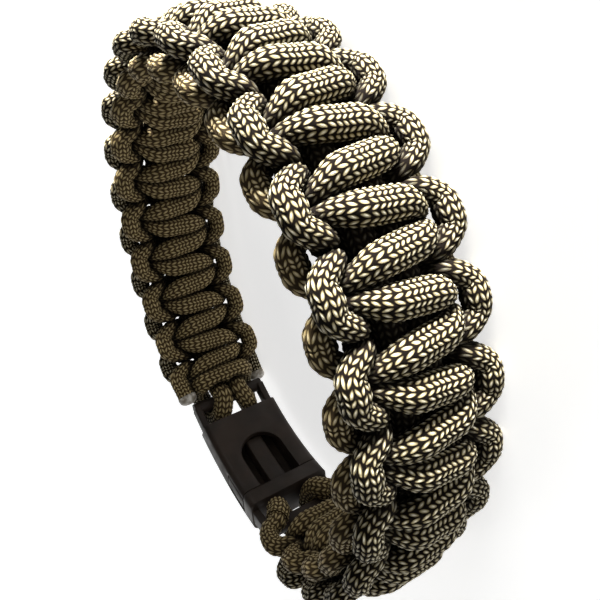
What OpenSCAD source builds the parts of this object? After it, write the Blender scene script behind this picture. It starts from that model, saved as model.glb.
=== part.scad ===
// Woven cord bracelet, closed into a loop by a curved side-release buckle.
// The loop stands on its lower edge: Z is the axis of the loop, and the floor is Z = 0.
//
// Places on the band are written as [x, y, s]: x across the band, y outwards from the band's
// middle surface, and s along the band's middle line, counted from the middle of the buckle.

/* [Loop] */
// Clear length inside the loop along X
inner_long = 76; // [70:0.5:90]
// Clear length inside the loop along Y
inner_short = 68.6; // [62:0.5:84]
// Where the buckle's middle lies round the loop, in degrees from +X
buckle_turn = 139.5; // [0:0.5:359]

/* [Cord] */
// Thickness of the round braided cord
cord_d = 3.7; // [3.4:0.05:4]
// Least length of band that one half knot takes up, in cord thicknesses
knot_room = 1.31; // [1.31:0.01:1.7]
// From the plug's cord bar to the middle of the first half knot
plug_lead = 7.8; // [6.8:0.1:9]
// From the socket's cord bar to the middle of the last half knot
socket_lead = 8.7; // [8.7:0.1:12]
// Gap between the ends of the cord's stretches where they meet
joint_gap = 0.1; // [0.05:0.01:0.2]

/* [Buckle] */
// Width of the buckle across the band
buckle_w = 17.2; // [17.2:0.1:21]
// Thickness of the buckle's two bodies
buckle_t = 7; // [6.6:0.1:8.4]
// Length of the two joined bodies, without the bars
body_len = 23; // [20:0.2:30]
// Length of the plug's body that shows beyond the socket's mouth
plug_base = 3.8; // [3:0.1:6]
// Radius of the bodies' long edges
edge_r = 1.4; // [0.6:0.1:2]
// Thickness of the socket's outer and inner walls
wall = 1.3; // [1.1:0.05:1.5]
// Thickness of the socket's side walls
side_wall = 1.6; // [1.3:0.1:2]
// Diameter of the round cord bars
bar_d = 2.8; // [2.4:0.1:3.2]
// Width of the rails that carry each cord bar
rail_w = 1.5; // [1.4:0.1:1.9]
// Thickness of those rails
rail_t = 3.2; // [2.8:0.1:4]
// Width of the arched window in the socket's inner wall
arch_w = 9.2; // [8:0.2:10.4]
// Length of that window, from the mouth to the top of its arch
arch_len = 12.2; // [9:0.2:13]
// Length of the side windows that show the prongs' press pads
pad_window = 7; // [5:0.5:9]
// Width of each springy prong
prong_w = 2; // [1.6:0.1:2.4]
// Width of the plug's middle guide
guide_w = 3.6; // [3:0.1:4.4]
// Gap between the plug and the socket, and between a cord and its bar
fit_gap = 0.25; // [0.2:0.05:0.35]
// How far the rails stand in from the bodies' sides, and the bars from the rails'
rail_inset = 0.2; // [0.1:0.05:0.4]

/* [Hidden] */
$fn = 96;
cord_sides = 8;
core_sides = 6;

// One crossing, from its bar to the loop at its side. out is across the band, rise is away from
// its middle surface, wide and thick are the cord's pressed section, all in cord thicknesses.
// along is in half knots, counted from the crossing's middle.
// out, rise, along, wide, thick
knot_rows = [
    [0.85, 0.93, -0.08, 0.96, 0.87],
    [1.45, 0.42, -0.24, 0.65, 0.82],
    [1.85, -0.38, -0.23, 0.61, 0.82],
    [2.50, -0.56, 0.16, 0.84, 0.80]
];
// The melted end of a working cord, past the last crossing's side.
// out, rise, along, wide, thick
tail_rows = [
    [2.48, -0.58, 0.75, 0.90, 0.84],
    [2.44, -0.58, 1.22, 0.90, 0.84],
    [2.42, -0.58, 1.36, 0.60, 0.54]
];
// From the plug's bar to the first crossing, with out and past in cord thicknesses and past
// counted from the bar. The two cords start at one place and part to the two faces.
// out, rise in front, rise at the back, past, wide, thick
lead_rows = [
    [1.66, -0.88, -0.88, 0.42, 0.84, 0.84],
    [1.81, -0.88, -0.88, 0.63, 0.84, 0.84],
    [2.36, -0.76, -0.22, 0.90, 0.84, 0.82]
];
core_share = 0.86;
core_out_share = 0.5;
// The core strand between the weave and either bar, with past counted from the bar.
// out, rise, past
core_rise_rows = [[0.5, 0, 1.45], [0.5, 0.34, 0.95], [0.55, 0.72, 0.42]];
// The loop of the hitch on the socket's bar, from the bar's outer side to the middle of the
// stretch that crosses over the two core strands inside the loop. There rise is inwards.
// out, rise, past
hitch_rows = [
    [1.36, -0.72, 0.5], [1.5, -0.3, 0.98], [1.5, 0.36, 1.22], [1.14, 0.96, 1.22], [0.45, 1.2, 1.2]
];
// Where the core leaves a bar once it has gone round it, in cord thicknesses from the middle
bar_out_share = 1.36;
wrap_turns = [90, 126, 162, 198, 234, 270];

half_t = (knot_rows[0][1] + knot_rows[0][4] / 2) * cord_d;
long_r = inner_long / 2 + half_t;
short_r = inner_short / 2 + half_t;
// Length of the band's middle line
loop_len = PI * (3 * (long_r + short_r) - sqrt((3 * long_r + short_r) * (long_r + 3 * short_r)));
bar_s = body_len / 2 + core_share * cord_d + 2 * fit_gap + bar_d / 2;
wrap_r = bar_d / 2 + fit_gap + core_share * cord_d / 2;
first_s = bar_s + plug_lead;
last_s = loop_len - bar_s - socket_lead;
// An odd number of steps, so that the last half knot leans against the first
steps = 2 * floor(((last_s - first_s) / (knot_room * cord_d) - 1) / 2) + 1;
pitch = (last_s - first_s) / steps;
edge_reach = max([for (face = [-1, 1], p = ring_points(woven_route(face), cord_sides)) abs(p[2])]);

function unit(v) = v / norm(v);
function other_side(v) = [-v[0], v[1], v[2], v[3], v[4]];

// The loop's direction at s, evened out so that equal steps of s are equal lengths
function turn_at(s) =
    let (t = buckle_turn + 360 * s / loop_len)
    t + (long_r - short_r) / (2 * (long_r + short_r)) * sin(2 * t) * 180 / PI;
function outward(s) = let (u = turn_at(s)) unit([short_r * cos(u), long_r * sin(u), 0]);
function place(x, y, s) =
    let (u = turn_at(s)) [long_r * cos(u), short_r * sin(u), -x] + y * outward(s);

// One crossing of half knot k on the front (face = 1) or the back (face = -1)
function across(k) = k % 2 == 0 ? 1 : -1;
function knot_row(row, k, way, face, side) = [
    side * way * row[0] * cord_d,
    face * row[1] * cord_d,
    first_s + (k + side * row[2]) * pitch,
    row[3] * cord_d,
    row[4] * cord_d
];
function crossing(k, face) =
    let (way = face * across(k), last = len(knot_rows) - 1)
    concat(
        [for (i = [last:-1:0]) knot_row(knot_rows[i], k, way, face, -1)],
        [for (i = [0:last]) knot_row(knot_rows[i], k, way, face, 1)]
    );
function woven_route(face) =
    let (way = face * across(0))
    concat(
        [for (row = lead_rows) [
            -way * row[0] * cord_d,
            (face > 0 ? row[1] : row[2]) * cord_d,
            bar_s + row[3] * cord_d,
            row[4] * cord_d,
            row[5] * cord_d
        ]],
        [for (k = [0:steps]) each crossing(k, face)],
        [for (row = tail_rows) knot_row(row, steps, face * across(steps), face, 1)]
    );

// Half of the core, from the plug's bar round to the middle of the hitch on the socket's bar
joint_step = unit([lead_rows[1][0] - lead_rows[0][0], lead_rows[1][3] - lead_rows[0][3]]);
function core_row(out, y, s) = [out * cord_d, y, s, core_share * cord_d, core_share * cord_d];
function wrap_out(turn) = core_out_share + (bar_out_share - core_out_share) * (turn - 90) / 180;
function core_half() = concat(
    [core_row(lead_rows[0][0] - joint_step[0] * joint_gap / cord_d, lead_rows[0][1] * cord_d,
        bar_s + lead_rows[0][3] * cord_d - joint_step[1] * joint_gap)],
    [for (i = [len(wrap_turns) - 1:-1:0]) core_row(wrap_out(wrap_turns[i]),
        wrap_r * sin(wrap_turns[i]), bar_s + wrap_r * cos(wrap_turns[i]))],
    [for (i = [len(core_rise_rows) - 1:-1:0]) let (row = core_rise_rows[i])
        core_row(row[0], row[1] * cord_d, bar_s + row[2] * cord_d)],
    [for (k = [0:steps]) core_row(core_out_share, 0, first_s + k * pitch)],
    [for (row = core_rise_rows) core_row(row[0], -row[1] * cord_d, loop_len - bar_s - row[2] * cord_d)],
    [for (turn = wrap_turns) core_row(wrap_out(turn),
        -wrap_r * sin(turn), loop_len - bar_s - wrap_r * cos(turn))],
    [for (row = hitch_rows) core_row(row[0], -row[1] * cord_d, loop_len - bar_s - row[2] * cord_d)]
);
function core_route() =
    let (half = core_half(), n = len(half))
    concat(half, [for (i = [n - 1:-1:0]) other_side(half[i])]);

// Rings of a swept cord. The section's thick way looks outwards from the loop, or, with
// carried = true, it is carried along without twist.
function carried_refs(t, first) =
    [for (i = 0, r = first; i < len(t); i = i + 1, r = i < len(t) ? unit(r - (r * t[i]) * t[i]) : r) r];
function ring_points(route, sides, carried = false) =
    let (
        n = len(route),
        p = [for (r = route) place(r[0], r[1], r[2])],
        step = [for (i = [0:n - 2]) unit(p[i + 1] - p[i])],
        t = [for (i = [0:n - 1]) unit(step[max(i - 1, 0)] + step[min(i, n - 2)])],
        o = [for (r = route) outward(r[2])],
        ref = carried ? carried_refs(t, o[0]) : o
    )
    [for (i = [0:n - 1])
        let (
            thick = unit(ref[i] - (ref[i] * t[i]) * t[i]),
            wide = cross(thick, t[i])
        )
        for (j = [0:sides - 1])
            let (a = 360 * j / sides)
            p[i] + wide * cos(a) * route[i][3] / 2 + thick * sin(a) * route[i][4] / 2];

module swept_cord(route, m, carried = false) {
    n = len(route);
    faces = concat(
        [[for (j = [0:m - 1]) j]],
        [for (i = [0:n - 2], j = [0:m - 1]) [i * m + j, (i + 1) * m + j, (i + 1) * m + (j + 1) % m,
            i * m + (j + 1) % m]],
        [[for (j = [m - 1:-1:0]) (n - 1) * m + j]]
    );
    translate([0, 0, edge_reach])
        polyhedron(points = ring_points(route, m, carried), faces = faces, convexity = 10);
}

module core_cord() { color([0.36, 0.33, 0.24]) swept_cord(core_route(), core_sides, true); }
module front_cord() { color([0.42, 0.39, 0.29]) swept_cord(woven_route(1), cord_sides); }
module back_cord() { color([0.30, 0.27, 0.19]) swept_cord(woven_route(-1), cord_sides); }

// Radius of the loop at the buckle, which both of its bodies follow
buckle_u = turn_at(0);
bend_r = pow(pow(long_r * sin(buckle_u), 2) + pow(short_r * cos(buckle_u), 2), 1.5)
    / (long_r * short_r);
mouth_s = body_len / 2 - plug_base;
body_end = body_len / 2;
cavity_w = buckle_w - 2 * side_wall;
cavity_t = buckle_t - 2 * wall;
prong_t = cavity_t - 2 * fit_gap;
// How far the prongs reach past the arch's top, and the cavity past the prongs
prong_past_arch = 2;
cavity_past_prong = 1;
prong_len = arch_len + prong_past_arch;
cavity_len = prong_len + cavity_past_prong;
// How far a cut runs past what it opens, and a joined piece into what carries it
past = 1;
// How much thinner the side windows are than the cavity, on each face
window_lip = 0.2;
small_r = 0.3;
pad_r = 0.8;

// A piece of curved bar with rounded long edges, from s0 to s1 along the band
module bent_bar(width, thick, s0, s1, r = small_r) {
    rotate([0, 0, s0 / bend_r * 180 / PI])
        rotate_extrude(angle = (s1 - s0) / bend_r * 180 / PI)
            translate([bend_r, 0])
                rounded_rect(thick, width, r);
}
module rounded_rect(w, h, r) {
    polygon([for (c = [[1, 1, 0], [-1, 1, 90], [-1, -1, 180], [1, -1, 270]], i = [0:4])
        [c[0] * (w / 2 - r) + r * cos(c[2] + 22.5 * i), c[1] * (h / 2 - r) + r * sin(c[2] + 22.5 * i)]]);
}
// Places its children with the loop's middle surface at the buckle on the bend's circle
module at_buckle() {
    out = outward(0);
    translate(place(0, 0, 0) - out * bend_r + [0, 0, edge_reach])
        rotate([0, 0, atan2(out[1], out[0])])
            children();
}
// The frame at one end: two rails and the round bar that the cord goes round
module bar_frame(end) {
    rail_mid = buckle_w / 2 - rail_inset - rail_w / 2;
    s0 = end > 0 ? body_end - past : -bar_s;
    s1 = end > 0 ? bar_s : past - body_end;
    for (side = [-1, 1])
        translate([0, 0, side * rail_mid]) bent_bar(rail_w, rail_t, s0, s1);
}
module cord_bar(s) {
    translate(place(0, 0, s) + [0, 0, edge_reach])
        cylinder(h = buckle_w - 4 * rail_inset, d = bar_d, center = true);
}
// An upright cut or block seen from outside the loop: y runs along the band
module seen_from_outside(x0, x1) {
    translate([bend_r + x0, 0, 0])
        rotate([90, 0, 90])
            linear_extrude(height = x1 - x0)
                children();
}

module buckle_socket() {
    color([0.09, 0.09, 0.10]) {
        at_buckle() {
            difference() {
                bent_bar(buckle_w, buckle_t, -body_end, mouth_s, edge_r);
                bent_bar(cavity_w, cavity_t, mouth_s - cavity_len, mouth_s + past);
                bent_bar(buckle_w + 2 * past, cavity_t - 2 * window_lip,
                    mouth_s - pad_window, mouth_s + past);
                seen_from_outside(-buckle_t, -cavity_t / 2 + window_lip) arch();
            }
            bar_frame(-1);
        }
        cord_bar(-bar_s);
    }
}
module arch() {
    translate([mouth_s - arch_len + arch_w / 2, 0]) circle(d = arch_w);
    translate([mouth_s - arch_len + arch_w / 2, -arch_w / 2]) square([arch_len, arch_w]);
}
module buckle_plug() {
    color([0.11, 0.11, 0.12]) {
        at_buckle() {
            bent_bar(buckle_w, buckle_t, mouth_s + fit_gap, body_end, edge_r);
            bent_bar(guide_w, prong_t, mouth_s - arch_len, mouth_s + past);
            prong_mid = cavity_w / 2 - fit_gap - prong_w / 2;
            pad_w = side_wall + prong_w + fit_gap;
            for (side = [-1, 1]) {
                translate([0, 0, side * prong_mid])
                    bent_bar(prong_w, prong_t, mouth_s - prong_len, mouth_s + past);
                translate([0, 0, side * (buckle_w / 2 - pad_w / 2)])
                    bent_bar(pad_w, prong_t - 2 * window_lip,
                        mouth_s - pad_window + fit_gap, mouth_s - fit_gap, pad_r);
            }
            bar_frame(1);
        }
        cord_bar(bar_s);
    }
}

buckle_socket();
buckle_plug();
core_cord();
front_cord();
back_cord();
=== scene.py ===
"""Looks of a woven cord bracelet with a side-release buckle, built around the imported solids.

Lengths are in millimetres until a mesh is made. A place on the band is (x, y, s): x across the
band, y outwards from its middle surface, and s along its middle line from the buckle's middle.
"""

import math

import bmesh
import bpy
import numpy as np
from mathutils import Matrix, Vector

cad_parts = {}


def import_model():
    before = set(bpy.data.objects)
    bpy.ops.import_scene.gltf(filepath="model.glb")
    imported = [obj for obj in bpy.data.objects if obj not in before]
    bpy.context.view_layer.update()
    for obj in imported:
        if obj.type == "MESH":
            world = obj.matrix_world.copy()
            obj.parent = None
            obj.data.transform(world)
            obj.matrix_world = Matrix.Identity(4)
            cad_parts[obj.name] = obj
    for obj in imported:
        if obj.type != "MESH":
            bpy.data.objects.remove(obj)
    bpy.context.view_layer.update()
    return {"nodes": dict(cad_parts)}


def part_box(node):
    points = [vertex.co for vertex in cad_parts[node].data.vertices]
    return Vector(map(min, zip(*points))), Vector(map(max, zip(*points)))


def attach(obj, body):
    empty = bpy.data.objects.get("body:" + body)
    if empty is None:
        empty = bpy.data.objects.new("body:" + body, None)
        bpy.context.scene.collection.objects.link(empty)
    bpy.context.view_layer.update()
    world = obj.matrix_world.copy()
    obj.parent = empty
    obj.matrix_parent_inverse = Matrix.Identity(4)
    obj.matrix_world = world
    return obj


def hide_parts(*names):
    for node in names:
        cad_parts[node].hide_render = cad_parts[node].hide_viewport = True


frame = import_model()
MM = 0.001

# ---- The solids' own dimensions ----
INNER_LONG = 76.0      # clear length inside the loop along X
INNER_SHORT = 68.6     # and along Y
BUCKLE_TURN = 139.5    # where the buckle's middle lies, in degrees from +X
CORD_D = 3.7           # thickness of the cord
KNOT_ROOM = 1.31       # least length of a half knot, in cord thicknesses
PLUG_LEAD = 7.8        # from the plug's bar to the first half knot
SOCKET_LEAD = 8.7      # from the socket's bar to the last half knot
BODY_LEN = 23.0        # the buckle's two bodies, without the bars
BAR_D = 2.8            # thickness of a cord bar
FIT_GAP = 0.25         # between a cord and its bar
CORE_SHARE = 0.86      # thickness of a core strand, in cord thicknesses
CORE_OUT = 0.5         # how far it lies from the band's middle before its turn round a bar
BAR_OUT = 1.36         # and after that turn

# Rows of a route. out, rise, wide and thick are in cord thicknesses: out is across the band, and
# rise is outwards from it. along is in half knots from the middle of the knot.
# out, rise, along, wide, thick
KNOT_ROWS = [(0.85, 0.93, -0.08, 0.96, 0.87), (1.45, 0.42, -0.24, 0.65, 0.82),
             (1.85, -0.38, -0.23, 0.61, 0.82), (2.50, -0.56, 0.16, 0.84, 0.80)]
TAIL_ROWS = [(2.48, -0.58, 0.75, 0.90, 0.84), (2.44, -0.58, 1.22, 0.90, 0.84)]
# Only the smooth cords need these two: a crossing's middle, and a side loop's outermost point.
BAR_ROW = (0.0, 0.96, 0.0, 1.02, 0.88)
LOOP_ROW = (2.52, -0.61, 0.5, 0.90, 0.88)
# Here along is in cord thicknesses from the bar.
# out, front cord's rise, back cord's rise, along, wide, thick
LEAD_ROWS = [(1.66, -0.88, -0.88, 0.42, 0.84, 0.84), (1.81, -0.88, -0.88, 0.63, 0.84, 0.84),
             (2.36, -0.76, -0.22, 0.90, 0.84, 0.82)]
# out, rise, along
CORE_RISE = [(0.5, 0, 1.45), (0.5, 0.34, 0.95), (0.55, 0.72, 0.42)]
HITCH = [(1.36, -0.72, 0.5), (1.5, -0.3, 0.98), (1.5, 0.36, 1.22), (1.14, 0.96, 1.22),
         (0.45, 1.2, 1.2)]
WRAP_TURNS = [90, 126, 162, 198, 234, 270]      # degrees round a bar

# The joint between two stretches of one cord is drawn closed, to a hair
JOINT_SEEN = 0.01

HALF_T = (KNOT_ROWS[0][1] + KNOT_ROWS[0][4] / 2) * CORD_D     # half the band's thickness
EDGE = (KNOT_ROWS[3][0] + KNOT_ROWS[3][3] / 2) * CORD_D       # half its width
LONG_R, SHORT_R = INNER_LONG / 2 + HALF_T, INNER_SHORT / 2 + HALF_T
LOOP_LEN = math.pi * (3 * (LONG_R + SHORT_R)
                      - math.sqrt((3 * LONG_R + SHORT_R) * (LONG_R + 3 * SHORT_R)))
BAR_S = BODY_LEN / 2 + CORE_SHARE * CORD_D + 2 * FIT_GAP + BAR_D / 2
WRAP_R = BAR_D / 2 + FIT_GAP + CORE_SHARE * CORD_D / 2
FIRST_S, LAST_S = BAR_S + PLUG_LEAD, LOOP_LEN - BAR_S - SOCKET_LEAD
STEPS = 2 * int(((LAST_S - FIRST_S) / (KNOT_ROOM * CORD_D) - 1) / 2) + 1
PITCH = (LAST_S - FIRST_S) / STEPS
MID_Z = (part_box("front_cord")[1].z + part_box("back_cord")[0].z) / 2 / MM


def unit(v):
    return v / np.maximum(np.linalg.norm(v, axis=-1, keepdims=True), 1e-12)


def outward(s):
    """The band's middle line at s, and the way outwards there."""
    t = np.radians(BUCKLE_TURN + 360 * s / LOOP_LEN)
    u = t + (LONG_R - SHORT_R) / (2 * (LONG_R + SHORT_R)) * np.sin(2 * t)
    ring = np.stack([LONG_R * np.cos(u), SHORT_R * np.sin(u), 0 * u], -1)
    return ring, unit(np.stack([SHORT_R * np.cos(u), LONG_R * np.sin(u), 0 * u], -1))


def place(x, y, s):
    """Points in space for places on the band, and the way outwards at each."""
    ring, out = outward(s)
    ring[..., 2] = MID_Z - x
    return ring + y[..., None] * out, out


# ---- The cords' routes: rows of x, y, s, width and thickness ----
def across(k):
    return 1 if k % 2 == 0 else -1


def knot_row(row, k, way, face, side):
    return (side * way * row[0] * CORD_D, face * row[1] * CORD_D,
            FIRST_S + (k + side * row[2]) * PITCH, row[3] * CORD_D, row[4] * CORD_D)


def woven_route(face):
    """A working cord from the plug's bar to its melted end, on the outer or the inner face."""
    way = face * across(0)
    rows = [(-way * r[0] * CORD_D, (r[1] if face > 0 else r[2]) * CORD_D, BAR_S + r[3] * CORD_D,
             r[4] * CORD_D, r[5] * CORD_D) for r in LEAD_ROWS]
    for k in range(STEPS + 1):
        way = face * across(k)
        rows += [knot_row(r, k, way, face, -1) for r in KNOT_ROWS[::-1]]
        rows += [knot_row(BAR_ROW, k, way, face, 1)]
        rows += [knot_row(r, k, way, face, 1) for r in KNOT_ROWS]
        if k < STEPS:
            rows += [knot_row(LOOP_ROW, k, way, face, 1)]
    rows += [knot_row(r, STEPS, face * across(STEPS), face, 1) for r in TAIL_ROWS]
    return np.array(rows)


def core_route():
    """One strand from the plug's bar to the hitch on the socket's, and back as its mirror image."""
    size = CORE_SHARE * CORD_D
    step = np.array([LEAD_ROWS[1][0] - LEAD_ROWS[0][0], LEAD_ROWS[1][3] - LEAD_ROWS[0][3]])
    step *= JOINT_SEEN / np.linalg.norm(step)
    first_turn, last_turn = WRAP_TURNS[0], WRAP_TURNS[-1]
    far = LOOP_LEN - BAR_S

    def row(out, y, s):
        return (out * CORD_D, y, s, size, size)

    def wrap_out(turn):
        return CORE_OUT + (BAR_OUT - CORE_OUT) * (turn - first_turn) / (last_turn - first_turn)

    rows = [row(LEAD_ROWS[0][0] - step[0] / CORD_D, LEAD_ROWS[0][1] * CORD_D,
                BAR_S + LEAD_ROWS[0][3] * CORD_D - step[1])]
    for turn in WRAP_TURNS[::-1]:
        a = math.radians(turn)
        rows.append(row(wrap_out(turn), WRAP_R * math.sin(a), BAR_S + WRAP_R * math.cos(a)))
    rows += [row(r[0], r[1] * CORD_D, BAR_S + r[2] * CORD_D) for r in CORE_RISE[::-1]]
    rows += [row(CORE_OUT, 0, FIRST_S + k * PITCH) for k in range(STEPS + 1)]
    rows += [row(r[0], -r[1] * CORD_D, far - r[2] * CORD_D) for r in CORE_RISE]
    for turn in WRAP_TURNS:
        a = math.radians(turn)
        rows.append(row(wrap_out(turn), -WRAP_R * math.sin(a), far - WRAP_R * math.cos(a)))
    rows += [row(r[0], -r[1] * CORD_D, far - r[2] * CORD_D) for r in HITCH]
    half = np.array(rows)
    return np.vstack([half, half[::-1] * [-1, 1, 1, 1, 1]])


# ---- Smooth cords: centres, sections and the frame that carries the braid ----
COLUMNS = 16          # lengthwise columns of braid floats round a cord
FLOAT_STEP = 0.86     # length along the cord that one float takes up
SUB = 4               # rings for each float
SPLINE_POINTS = 12    # points of the smooth line for each row of a route
SWELL = 1.12          # how much plumper the woven cords are than their solids
CORE_SWELL = 1.3      # and the core's strands
LEAST_WIDE = 0.78     # in cord thicknesses, before its neighbours press on it


def spline(rows):
    """A centripetal Catmull-Rom line through the rows."""
    p = np.vstack([2 * rows[0] - rows[1], rows, 2 * rows[-1] - rows[-2]])
    steps = np.linalg.norm(np.diff(p[:, :3], axis=0), axis=1)
    knots = np.concatenate([[0], np.cumsum(steps ** 0.5)])
    out = []
    for i in range(1, len(p) - 2):
        t0, t1, t2, t3 = knots[i - 1:i + 3]
        t = np.linspace(t1, t2, SPLINE_POINTS, endpoint=False)[:, None]
        a1 = (t1 - t) / (t1 - t0) * p[i - 1] + (t - t0) / (t1 - t0) * p[i]
        a2 = (t2 - t) / (t2 - t1) * p[i] + (t - t1) / (t2 - t1) * p[i + 1]
        a3 = (t3 - t) / (t3 - t2) * p[i + 1] + (t - t2) / (t3 - t2) * p[i + 2]
        b1 = (t2 - t) / (t2 - t0) * a1 + (t - t0) / (t2 - t0) * a2
        b2 = (t3 - t) / (t3 - t1) * a2 + (t - t1) / (t3 - t1) * a3
        out.append((t2 - t) / (t2 - t1) * b1 + (t - t1) / (t2 - t1) * b2)
    return np.vstack(out + [rows[-1:]])


class Cord:
    """Rings along a route: n centres, and the half size in 2 * COLUMNS directions round each."""

    def __init__(self, name, rows, swell):
        fine = spline(rows)
        p, _ = place(fine[:, 0], fine[:, 1], fine[:, 2])
        arc = np.concatenate([[0], np.cumsum(np.linalg.norm(np.diff(p, axis=0), axis=1))])
        n = int(round(arc[-1] / FLOAT_STEP)) * SUB + SUB + 1
        at = np.linspace(0, arc[-1], n)
        f = np.stack([np.interp(at, arc, fine[:, i]) for i in range(5)], 1)
        self.name, self.arc, self.n = name, at, n
        self.band = f[:, :3]
        self.centre, self.out = place(f[:, 0], f[:, 1], f[:, 2])
        t = unit(np.gradient(self.centre, axis=0))
        self.tangent = t
        self.thick_way = unit(self.out - (self.out * t).sum(1, keepdims=True) * t)
        self.wide_way = np.cross(self.thick_way, t)
        wide = np.maximum(f[:, 3], LEAST_WIDE * CORD_D)
        self.half = np.stack([wide, f[:, 4]], 1) / 2 * swell
        # The braid's columns start from a direction that doesn't twist along the cord
        u = np.empty_like(t)
        u[0] = self.wide_way[0]
        for i in range(1, n):
            v = u[i - 1] - (u[i - 1] @ t[i]) * t[i]
            u[i] = v / math.sqrt(v @ v)
        v = np.cross(t, u)
        a = np.arange(2 * COLUMNS) * math.pi / COLUMNS
        self.ways = u[:, None] * np.cos(a)[:, None] + v[:, None] * np.sin(a)[:, None]
        self.radius = self.reach(self.ways)

    def reach(self, ways):
        """The section's half size in each of the given directions."""
        w = np.einsum("njk,nk->nj", ways, self.wide_way) / self.half[:, :1]
        t = np.einsum("njk,nk->nj", ways, self.thick_way) / self.half[:, 1:]
        return 1 / np.sqrt(w * w + t * t)


OWN_STRETCH = 6.0     # a cord doesn't press on its own next 6 mm
PRESS_REACH = 4.6     # centres further apart than this don't press on each other
PRESS_GAP = 0.02      # left between a cord and the plane halfway to its neighbour
LEAST_SHARE = 0.55    # a cord keeps at least this share of its size
LEAST_LEAN = 0.15     # cosine to the neighbour's direction from which a direction is held back
FREE = 9.0            # the limit of a direction that nothing holds back
PRESS_ROUNDS = 3      # rounds of smoothing afterwards
CHUNK = 400           # rings worked on at a time


def press(cords):
    """Flattens each cord where it lies against another, halfway between the two."""
    other, size = [], []
    for index, c in enumerate(cords):
        other.append(np.hstack([c.centre, np.full((c.n, 1), index), c.arc[:, None]])[::2])
        size.append(np.hstack([c.wide_way, c.thick_way, c.half])[::2])
    other, size = np.vstack(other).astype(np.float32), np.vstack(size).astype(np.float32)

    def in_way(e, s):
        w = (e * s[:, 0:3]).sum(1) / s[:, 6]
        t = (e * s[:, 3:6]).sum(1) / s[:, 7]
        return 1 / np.sqrt(w * w + t * t + 1e-9)

    for index, c in enumerate(cords):
        own = np.hstack([c.wide_way, c.thick_way, c.half]).astype(np.float32)
        limit = np.full(c.radius.shape, FREE, np.float32)
        for a in range(0, c.n, CHUNK):
            b = min(a + CHUNK, c.n)
            d = other[None, :, :3] - c.centre[a:b, None].astype(np.float32)
            near = (d * d).sum(2) < PRESS_REACH ** 2
            near &= (other[None, :, 3] != index) | (
                np.abs(other[None, :, 4] - c.arc[a:b, None]) > OWN_STRETCH)
            i, j = np.nonzero(near)
            if not len(i):
                continue
            e = d[i, j]
            far = np.linalg.norm(e, axis=1)
            e /= far[:, None]
            mine, theirs = in_way(e, own[a + i]), in_way(e, size[j])
            stop = far * mine / (mine + theirs) - PRESS_GAP
            lean = np.einsum("pjk,pk->pj", c.ways[a + i].astype(np.float32), e)
            r = np.where(lean > LEAST_LEAN, stop[:, None] / np.maximum(lean, LEAST_LEAN), FREE)
            first = np.concatenate([[0], np.nonzero(np.diff(i))[0] + 1])
            limit[a + i[first]] = np.minimum.reduceat(r, first, axis=0)
        c.limit = limit
    for c in cords:
        c.reached = c.radius
        r = np.minimum(c.radius, np.maximum(c.limit, LEAST_SHARE * c.radius))
        for _ in range(PRESS_ROUNDS):
            r = (np.roll(r, 1, 1) + 2 * r + np.roll(r, -1, 1)) / 4
            r[1:-1] = (r[:-2] + 2 * r[1:-1] + r[2:]) / 4
        c.radius = r


# ---- The braid in the mesh ----
FLOAT_RISE = 0.17                                # height of a float
FLOAT_SUNK = 0.6                                 # share of it that lies under the cord's surface
RISE_ALONG = np.array([0.0, 0.8, 1.0, 0.8])      # a float's profile over its SUB rings
RISE_ACROSS = np.array([0.30, 1.0])              # and at a column's edge and its middle
WEAVE_START, WEAVE_END = 5, 4        # the crevices' painted shade fades out over this length of the band
CREVICE_DEPTH = (1.1, 3.2)           # under the weave's surface: where the painted shade starts, is full
TOUCH_REACH = (1.0, 1.5)             # a neighbour's distance over the cord's own half size
TOUCH_SHARE = 0.8                    # how dark the painted shade at a touching place is against a full crevice
INNER_SIDE = (-1.4, 2.8)             # inwards from the band's middle: where the inner side's painted shade starts, is full


def step_up(v, low, high):
    t = np.clip((v - low) / (high - low), 0, 1)
    return t * t * (3 - 2 * t)


def braid_grid(c):
    """Points on a herringbone grid: each column's rows slope, and the next column's slope back.
    With them come how deep each point lies in the weave or how near it touches a neighbour, from 0
    on its outside to 1, as a mask of painted shade, and how far it faces the wrist, as a mask of
    painted shade on the loop's inside."""
    j = np.arange(2 * COLUMNS)
    shift = np.array([0, SUB // 2, SUB, SUB // 2])[j % 4]
    i = np.arange(-SUB, c.n)
    at = np.clip(i[:, None] + shift[None], 0, c.n - 1)
    rise = FLOAT_RISE * (RISE_ALONG[i % SUB][:, None] * RISE_ACROSS[j % 2][None] - FLOAT_SUNK)
    r = c.radius[at, j[None]]
    ways = c.ways[at, j[None]]
    points = c.centre[at] + ways * (r + rise)[..., None]
    points[..., 2] = np.maximum(points[..., 2], 0)      # flattened where it rests on the floor
    x = MID_Z - points[..., 2]
    y = c.band[at, 1] + ((points - c.centre[at]) * c.out[at]).sum(-1)
    s = c.band[at, 2]
    # Painted shade: darkness deep in the weave's crevices and where a cord touches a neighbour,
    # only along the woven stretch.
    sunk = np.minimum(HALF_T - np.abs(y), EDGE - np.abs(x))
    woven = step_up(s, FIRST_S - WEAVE_START, FIRST_S) * (
        1 - step_up(s, LAST_S, LAST_S + WEAVE_END))
    deep = step_up(sunk, *CREVICE_DEPTH) * woven
    near = 1 - step_up(c.limit[at, j[None]] / c.reached[at, j[None]], *TOUCH_REACH)
    crevice = np.clip(1 - (1 - deep) * (1 - TOUCH_SHARE * near), 0, 1)
    return points, crevice, step_up(-y, *INNER_SIDE)


NO_AREA = 1e-6        # faces smaller than this, in square millimetres, are left out


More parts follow.
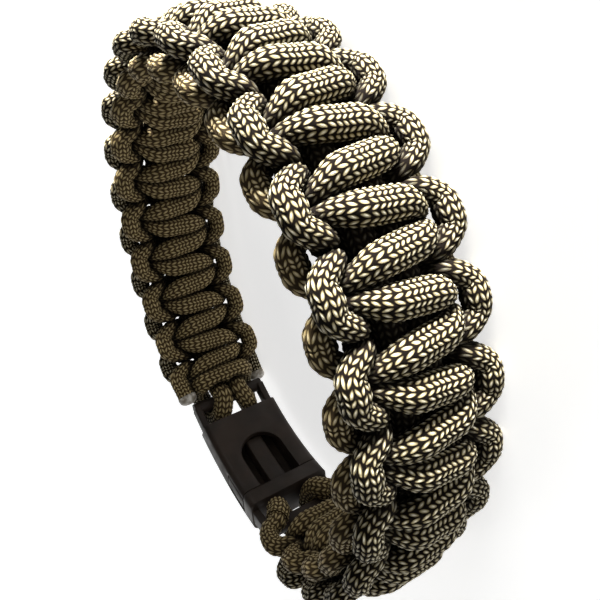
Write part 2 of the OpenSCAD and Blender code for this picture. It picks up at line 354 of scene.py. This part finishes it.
def grid_mesh(name, points, first_row, material, shades=()):
    """A closed tube from a grid of points. Its map counts floats along and columns round."""
    rows, cols = points.shape[:2]
    verts = np.vstack([points.reshape(-1, 3), points[0].mean(0), points[-1].mean(0)]) * MM
    i, j = np.meshgrid(np.arange(rows - 1), np.arange(cols), indexing="ij")
    k = (j + 1) % cols
    quads = np.stack([i * cols + j, (i + 1) * cols + j, (i + 1) * cols + k, i * cols + k], -1)
    quads = quads.reshape(-1, 4)
    corner = points.reshape(-1, 3)[quads]
    diagonals = corner[:, 2] - corner[:, 0], corner[:, 3] - corner[:, 1]
    kept = np.linalg.norm(np.cross(*diagonals), axis=1) > NO_AREA
    quads, i, j = quads[kept], i.ravel()[kept], j.ravel()[kept]
    # A fan of triangles closes each end
    col, nxt = np.arange(cols), (np.arange(cols) + 1) % cols
    c0, c1 = rows * cols, rows * cols + 1
    tri0 = np.stack([np.full(cols, c0), col, nxt], 1)
    tri1 = np.stack([np.full(cols, c1), (rows - 1) * cols + nxt, (rows - 1) * cols + col], 1)
    loops = np.concatenate([quads.ravel(), tri0.ravel(), tri1.ravel()])
    starts = np.concatenate([np.arange(len(quads)) * 4, len(quads) * 4 + np.arange(2 * cols) * 3])
    totals = np.concatenate([np.full(len(quads), 4), np.full(2 * cols, 3)])
    mesh = bpy.data.meshes.new(name)
    mesh.vertices.add(len(verts))
    mesh.vertices.foreach_set("co", verts.astype(np.float32).ravel())
    mesh.loops.add(len(loops))
    mesh.loops.foreach_set("vertex_index", loops.astype(np.int32))
    mesh.polygons.add(len(starts))
    mesh.polygons.foreach_set("loop_start", starts.astype(np.int32))
    mesh.polygons.foreach_set("loop_total", totals.astype(np.int32))
    along = (first_row + np.stack([i, i + 1, i + 1, i], -1).reshape(-1)) / SUB
    around = np.stack([j, j, j + 1, j + 1], -1).reshape(-1) / 2
    caps = np.zeros(6 * cols)
    uv = np.stack([np.concatenate([along, caps]), np.concatenate([around, caps])], 1)
    layer = mesh.uv_layers.new(name="braid")
    layer.data.foreach_set("uv", uv.astype(np.float32).ravel())
    mesh.update(calc_edges=True)
    mesh.validate()
    mesh.polygons.foreach_set("use_smooth", np.ones(len(mesh.polygons), bool))
    for shade, values in shades:
        layer = mesh.attributes.new(shade, "FLOAT", "POINT")
        layer.data.foreach_set("value", np.append(values.ravel(), [0, 0]).astype(np.float32))
    ob = bpy.data.objects.new(name, mesh)
    bpy.context.scene.collection.objects.link(ob)
    mesh.materials.append(material)
    return ob


# ---- Materials ----
class Nodes:
    """Short calls for building a material's node tree."""

    def __init__(self, name):
        self.mat = bpy.data.materials.new(name)
        self.mat.use_nodes = True
        self.tree = self.mat.node_tree
        self.shader = self.tree.nodes["Principled BSDF"]

    def put(self, sock, value):
        if hasattr(value, "is_output"):
            self.tree.links.new(value, sock)
        else:
            sock.default_value = value

    def set(self, **values):
        """Sets or links the shader's own sockets, named with _ for a space."""
        for name, value in values.items():
            self.put(self.shader.inputs[name.replace("_", " ")], value)

    def node(self, kind, inputs=(), **props):
        n = self.tree.nodes.new(kind)
        for k, v in props.items():
            setattr(n, k, v)
        for k, v in dict(inputs).items():
            self.put(n.inputs[k], v)
        return n

    def math(self, op, a, b=0.0, c=0.0):
        return self.node("ShaderNodeMath", {0: a, 1: b, 2: c}, operation=op).outputs[0]

    def smooth(self, value, low, high, a=0.0, b=1.0):
        """Goes smoothly from a to b as the value goes from low to high."""
        return self.node("ShaderNodeMapRange", {0: value, 1: low, 2: high, 3: a, 4: b},
                         interpolation_type="SMOOTHSTEP").outputs[0]

    def mix(self, share, a, b):
        n = self.node("ShaderNodeMix", data_type="RGBA")
        self.put(n.inputs["Factor"], share)
        self.put([s for s in n.inputs if s.name == "A" and s.type == "RGBA"][0], a)
        self.put([s for s in n.inputs if s.name == "B" and s.type == "RGBA"][0], b)
        return [s for s in n.outputs if s.type == "RGBA"][0]

    def position(self):
        return self.node("ShaderNodeTexCoord").outputs["Object"]

    def attribute(self, name):
        return self.node("ShaderNodeAttribute", attribute_name=name).outputs["Fac"]

    def noise(self, vector, scale, detail=2.0, rough=0.5):
        return self.node("ShaderNodeTexNoise", {"Vector": vector, "Scale": scale, "Detail": detail,
                                                "Roughness": rough}).outputs["Fac"]

    def bump(self, height, distance, strength):
        return self.node("ShaderNodeBump", {"Height": height, "Distance": distance * MM,
                                            "Strength": strength}).outputs[0]


def rgb(*display):
    """A colour given as 0 to 255 display values, as the linear colour that a shader takes."""
    linear = [((c / 255 + 0.055) / 1.055) ** 2.4 if c > 10 else c / 255 / 12.92 for c in display]
    return tuple(linear) + (1.0,)


# A float's look. Sizes are shares of the room that one float has, along and across.
FLOAT_HALF_LONG, FLOAT_HALF_WIDE = 0.285, 0.33
FLOAT_SQUARE = 2.3      # how square a float is, where 2 is an oval
SLOPE_BACK = 0.35       # share of the columns' slope that is taken back to keep a float short
BODY_EDGE = (1.5, 0.75)       # where its body starts and is full, if its crest ends at 1
FILAMENTS = 5                 # fine lines for each float
# The light colour on the floats' crests is a painted highlight; the edge and gap colours are
# painted shade between floats.
LIGHT, MID, EDGE_SHADE, GAP_SHADE = rgb(212, 206, 186), rgb(118, 108, 79), rgb(42, 32, 17), rgb(9, 5, 2)
# Painted shade on the loop's inner side, which faces the wrist.
INNER_SHADE_DARK, INNER_SHADE_MID, INNER_SHADE_CREST = rgb(57, 46, 30), rgb(141, 123, 83), rgb(184, 167, 124)
# Near-black painted shade in crevices and where cords touch.
CREVICE_SHADE = rgb(14, 9, 6)
TONE_PARTS = 0.55, 0.55       # how much a float's own tone and the patches of tone count
CREST_IN_INNER_SHADE = 0.45             # how much of its crest highlight a float in the inner side's painted shade keeps
INNER_SHADE_SHARE, CREVICE_SHADE_SHARE = 0.9, 0.93      # how far the inner side's painted shade and the crevices' painted shade cover the colour
FILAMENT_HEIGHT, FUZZ_HEIGHT = 0.06, 0.10   # over a float's own height in the bump
PATCH_SCALE, FUZZ_SCALE = 140.0, 5200.0     # features in a metre


def braid_material(name):
    m = Nodes(name)
    uv = m.node("ShaderNodeUVMap", uv_map="braid").outputs[0]
    xyz = m.node("ShaderNodeSeparateXYZ", {0: uv})
    a, b = xyz.outputs[0], xyz.outputs[1]      # floats along the cord, and columns round it
    obj = m.position()
    # How far a point is from its float's middle, where 1 is the edge of the float's crest, which
    # gets a painted highlight.
    # The columns' rows slope to and fro, so the part of the slope that is taken back does too.
    odd = m.math("FLOORED_MODULO", m.math("FLOOR", b), 2.0)
    slope = m.math("MULTIPLY_ADD", odd, -2 * SLOPE_BACK, SLOPE_BACK)
    from_b = m.math("SUBTRACT", m.math("FRACT", b), 0.5)
    from_a = m.math("SUBTRACT", m.math("FRACT", a), 0.5)
    from_a = m.math("ADD", from_a, m.math("MULTIPLY", slope, from_b))
    shares = m.math("DIVIDE", from_a, FLOAT_HALF_LONG), m.math("DIVIDE", from_b, FLOAT_HALF_WIDE)
    sides = [m.math("POWER", m.math("ABSOLUTE", v), FLOAT_SQUARE) for v in shares]
    reach = m.math("POWER", m.math("ADD", *sides), 1 / FLOAT_SQUARE)
    crest_highlight = m.smooth(reach, 1.0, 0.0)
    body = m.smooth(reach, *BODY_EDGE)
    # Each float has a tone of its own, and the tone also changes from patch to patch
    cell = m.node("ShaderNodeCombineXYZ", {0: m.math("FLOOR", a), 1: m.math("FLOOR", b)})
    each = m.node("ShaderNodeTexWhiteNoise", {"Vector": cell.outputs[0]},
                  noise_dimensions="3D").outputs["Value"]
    patch = m.noise(obj, PATCH_SCALE, 3.0)
    tone = m.math("ADD", m.math("MULTIPLY", each, TONE_PARTS[0]),
                  m.math("MULTIPLY", patch, TONE_PARTS[1]))
    colour = m.mix(m.smooth(tone, 0.15, 0.8, 0.45, 1.0), MID, LIGHT)
    # Painted highlight: the float's crest takes the toned colour, and the rest of the float the
    # plain mid colour.
    colour = m.mix(crest_highlight, MID, colour)
    # Painted shade: the float's edges darken, and the gaps between floats go near-black.
    colour = m.mix(m.smooth(body, 0.2, 0.8), EDGE_SHADE, colour)
    colour = m.mix(m.smooth(body, 0.0, 0.35), GAP_SHADE, colour)
    # The side towards the wrist, on the loop's inside, gets painted shade: darker, browner and with
    # less contrast
    inner_shaded_colour = m.mix(m.smooth(body, 0.0, 1.0), INNER_SHADE_DARK, INNER_SHADE_MID)
    inner_shaded_colour = m.mix(m.math("MULTIPLY", crest_highlight, CREST_IN_INNER_SHADE), inner_shaded_colour, INNER_SHADE_CREST)
    colour = m.mix(m.math("MULTIPLY", m.attribute("inner"), INNER_SHADE_SHARE), colour, inner_shaded_colour)
    # Painted shade in the weave's crevices and where cords touch: near-black over the colour.
    deep = m.attribute("crevice")
    colour = m.mix(m.math("MULTIPLY", deep, CREVICE_SHADE_SHARE), colour, CREVICE_SHADE)
    filament = m.math("SINE", m.math("MULTIPLY", a, 2 * math.pi * FILAMENTS))
    height = m.math("ADD", body, m.math("MULTIPLY", filament, FILAMENT_HEIGHT))
    fuzz = m.math("MULTIPLY", m.noise(obj, FUZZ_SCALE, 2.0), FUZZ_HEIGHT)
    height = m.math("ADD", height, fuzz)
    # The floats shine a little, and the gaps and crevices not at all
    rough = m.math("MAXIMUM", m.smooth(body, 0.0, 1.0, 0.95, 0.42), deep)
    m.set(Base_Color=colour, Normal=m.bump(height, 0.12, 0.8), Roughness=rough,
          Specular_IOR_Level=0.09)
    return m.mat


def plastic_material():
    """Matt black plastic with a fine grain and faint clouds."""
    m = Nodes("buckle_plastic_black")
    obj = m.position()
    cloud = m.noise(obj, 130.0, 4.0)
    colour = m.mix(m.smooth(cloud, 0.3, 0.75), rgb(34, 27, 22), rgb(48, 38, 31))
    rough = m.smooth(m.noise(obj, 420.0, 4.0), 0.3, 0.7, 0.42, 0.60)
    grain = m.noise(obj, 3800.0, 3.0, 0.6)
    m.set(Base_Color=colour, Normal=m.bump(grain, 0.02, 0.5), Roughness=rough,
          Specular_IOR_Level=0.2)
    return m.mat


def melted_material():
    """Cord that melted and set again: greyish, glossy and uneven."""
    m = Nodes("melted_cord_end")
    obj = m.position()
    cloud = m.noise(obj, 900.0, 4.0)
    colour = m.mix(m.smooth(cloud, 0.35, 0.7), rgb(112, 104, 90), rgb(188, 184, 176))
    lumps = m.noise(obj, 1500.0, 3.0)
    m.set(Base_Color=colour, Normal=m.bump(lumps, 0.15, 0.5), Roughness=0.3)
    return m.mat


# ---- The cords ----
PIECES = {"front": ["front_cord_lower", "front_cord_upper"],
          "back": ["back_cord_lower", "back_cord_upper"], "core": ["core_cord_strands"]}
BRAID = braid_material("braided_cord_olive")


def cuts(rows, parts):
    """The rows where a grid of as many rows is cut into parts, each at a float's first ring."""
    return [0] + [int(rows * k / parts) // SUB * SUB for k in range(1, parts)] + [rows - 1]


cords = [Cord("front", woven_route(1), SWELL), Cord("back", woven_route(-1), SWELL),
         Cord("core", core_route(), CORE_SWELL)]
press(cords)
for c in cords:
    grid, crevice, inner = braid_grid(c)
    names = PIECES[c.name]
    cut = cuts(len(grid), len(names))
    for name, lo, hi in zip(names, cut, cut[1:]):
        shades = (("crevice", crevice[lo:hi + 1]), ("inner", inner[lo:hi + 1]))
        ob = grid_mesh(name, grid[lo:hi + 1], lo, BRAID, shades)
        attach(ob, "root")
        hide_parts(c.name + "_cord")

# ---- The buckle ----
PLASTIC = plastic_material()
WELD = 0.002                                    # points closer than this are one
FLAT_ANGLE, BEVEL_ANGLE, SHARP_ANGLE = 1, 40, 38      # degrees
BEVEL, BEVEL_STEPS = 0.22, 3


def moulded(node, name):
    """The solid's own form with its sharp edges rounded as a moulding's are."""
    mesh = frame["nodes"][node].data.copy()
    mesh.name = name
    bm = bmesh.new()
    bm.from_mesh(mesh)
    bmesh.ops.remove_doubles(bm, verts=bm.verts, dist=WELD * MM)
    bmesh.ops.dissolve_limit(bm, angle_limit=math.radians(FLAT_ANGLE), verts=bm.verts,
                             edges=bm.edges)
    bm.to_mesh(mesh)
    bm.free()
    ob = bpy.data.objects.new(name, mesh)
    bpy.context.scene.collection.objects.link(ob)
    mod = ob.modifiers.new("round", "BEVEL")
    mod.width, mod.segments, mod.limit_method = BEVEL * MM, BEVEL_STEPS, "ANGLE"
    mod.angle_limit = math.radians(BEVEL_ANGLE)
    mod.use_clamp_overlap = True
    bpy.context.view_layer.update()
    evaluated = ob.evaluated_get(bpy.context.evaluated_depsgraph_get())
    done = bpy.data.meshes.new_from_object(evaluated)
    ob.modifiers.clear()
    ob.data = done
    done.materials.clear()
    done.materials.append(PLASTIC)
    done.polygons.foreach_set("use_smooth", np.ones(len(done.polygons), bool))
    done.set_sharp_from_angle(angle=math.radians(SHARP_ANGLE))
    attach(ob, "root")
    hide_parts(node)


moulded("buckle_socket", "buckle_socket_moulded")
moulded("buckle_plug", "buckle_plug_moulded")

# ---- The melted ends ----
MELTED = melted_material()
MELT_LEN, MELT_RINGS = 1.9, 10
MELT_BACK = 0.45         # how far a dome starts before its cord's end
MELT_GROW = 1.10         # over the cord's own size
MELT_LUMP = 0.06         # height of its lumps over its size
MELT_SHOULDER = 0.35     # share of its length before it closes
MELT_TIP = 0.0004        # square of the least share of its size at its tip
MELT_FROM = 6            # rings of the cord whose mean size it takes


def melted_end(c, name):
    """A lumpy dome over a working cord's last millimetres, where its end was melted."""
    last = c.n - 1
    cols = c.ways.shape[1]
    lump = np.sin(np.arange(cols) / cols * 4 * math.pi + len(name)) * MELT_LUMP
    base = c.radius[last - MELT_FROM:last].mean(0)
    points = []
    for ring in range(MELT_RINGS + 1):
        t = ring / MELT_RINGS
        closed = max(t - MELT_SHOULDER, 0) / (1 - MELT_SHOULDER)
        grow = MELT_GROW * math.sqrt(max(1 - closed ** 2, MELT_TIP))
        centre = c.centre[last] + c.tangent[last] * (t * MELT_LEN - MELT_BACK)
        points.append(centre + c.ways[last] * ((base * grow * (1 + lump * t))[:, None]))
    points = np.array(points)
    points[..., 2] = np.maximum(points[..., 2], 0)
    ob = grid_mesh(name, points, 0, MELTED)
    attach(ob, "root")


melted_end(cords[0], "melted_end_front")
melted_end(cords[1], "melted_end_back")


# ---- Camera, floor and light, in metres where no other unit is named ----
def camera():
    """The photo's view: its angles, its distance in millimetres and what it aims at."""
    el, az, roll = math.radians(21.58), math.radians(3.84), math.radians(-109.97)
    far, off_x, off_y = 102.17, -0.73, -6.90
    to_camera = Vector((math.sin(az) * math.cos(el), -math.cos(az) * math.cos(el), math.sin(el)))
    spot = to_camera * far
    right = Vector((math.cos(az), math.sin(az), 0))
    aim = right * off_x + to_camera.cross(right) * off_y
    back = (spot - aim).normalized()
    level = Vector((0, 0, 1)).cross(back).normalized()
    up = back.cross(level)
    x = level * math.cos(roll) + up * math.sin(roll)
    y = -level * math.sin(roll) + up * math.cos(roll)
    data = bpy.data.cameras.new("camera")
    data.sensor_width, data.lens = 36.0, 35.83
    data.clip_start, data.clip_end = 0.002, 20.0
    ob = bpy.data.objects.new("camera", data)
    bpy.context.scene.collection.objects.link(ob)
    spot = (spot + Vector((0, 0, MID_Z))) * MM
    ob.matrix_world = Matrix(((x.x, y.x, back.x, spot.x), (x.y, y.y, back.y, spot.y),
                              (x.z, y.z, back.z, spot.z), (0, 0, 0, 1)))
    bpy.context.scene.camera = ob


def floor():
    """A flat floor whose rim curves up all round, so that no view shows where it ends."""
    flat, rim, height = 0.9, 2.4, 1.2
    flat_rings, rim_rings, around = 4, 20, 64
    profile = [(flat * k / flat_rings, 0.0) for k in range(1, flat_rings + 1)]
    profile += [(flat + (rim - flat) * t, height * t * t) for t in np.linspace(0.05, 1, rim_rings)]
    turns = [2 * math.pi * k / around for k in range(around)]
    verts = [(0, 0, 0)]
    for r, z in profile:
        verts += [(r * math.cos(a), r * math.sin(a), z) for a in turns]
    faces = [(0, 1 + k, 1 + (k + 1) % around) for k in range(around)]
    for i in range(len(profile) - 1):
        a, b = 1 + i * around, 1 + (i + 1) * around
        faces += [(a + k, b + k, b + (k + 1) % around, a + (k + 1) % around)
                  for k in range(around)]
    mesh = bpy.data.meshes.new("studio_floor")
    mesh.from_pydata(verts, [], faces)
    mesh.polygons.foreach_set("use_smooth", np.ones(len(mesh.polygons), bool))
    ob = bpy.data.objects.new("studio_floor", mesh)
    bpy.context.scene.collection.objects.link(ob)
    m = Nodes("studio_floor_white")
    m.set(Base_Color=(0.86, 0.86, 0.85, 1), Roughness=0.8, Specular_IOR_Level=0.1,
          Emission_Color=(1, 1, 1, 1), Emission_Strength=0.66)
    mesh.materials.append(m.mat)


AIM = Vector((0, 0, 0.01))


def light(name, kind, spot, aim, power, colour):
    data = bpy.data.lights.new(name, kind)
    data.energy, data.color = power, colour
    ob = bpy.data.objects.new(name, data)
    ob.location = spot
    ob.rotation_euler = (aim - Vector(spot)).to_track_quat("-Z", "Y").to_euler()
    bpy.context.scene.collection.objects.link(ob)
    return data


def lights():
    """A long low key light, which leaves the loop's inside dark, and a soft sun from behind."""
    key = light("key", "AREA", (0.72, -0.355, 0.010), AIM, 62, (1.0, 0.99, 0.97))
    key.shape, key.size, key.size_y = "RECTANGLE", 0.3, 0.018
    back = light("back", "SUN", (-0.50, 0.75, 0.65), Vector(), 0.32, (1.0, 1.0, 1.0))
    back.angle = math.radians(20)


def world(strength):
    scene = bpy.context.scene
    scene.world = bpy.data.worlds.new("studio")
    scene.world.use_nodes = True
    background = scene.world.node_tree.nodes["Background"]
    background.inputs["Color"].default_value = (1, 1, 1, 1)
    background.inputs["Strength"].default_value = strength


camera()
floor()
lights()
world(0.10)
bpy.context.scene.view_settings.view_transform = "Standard"
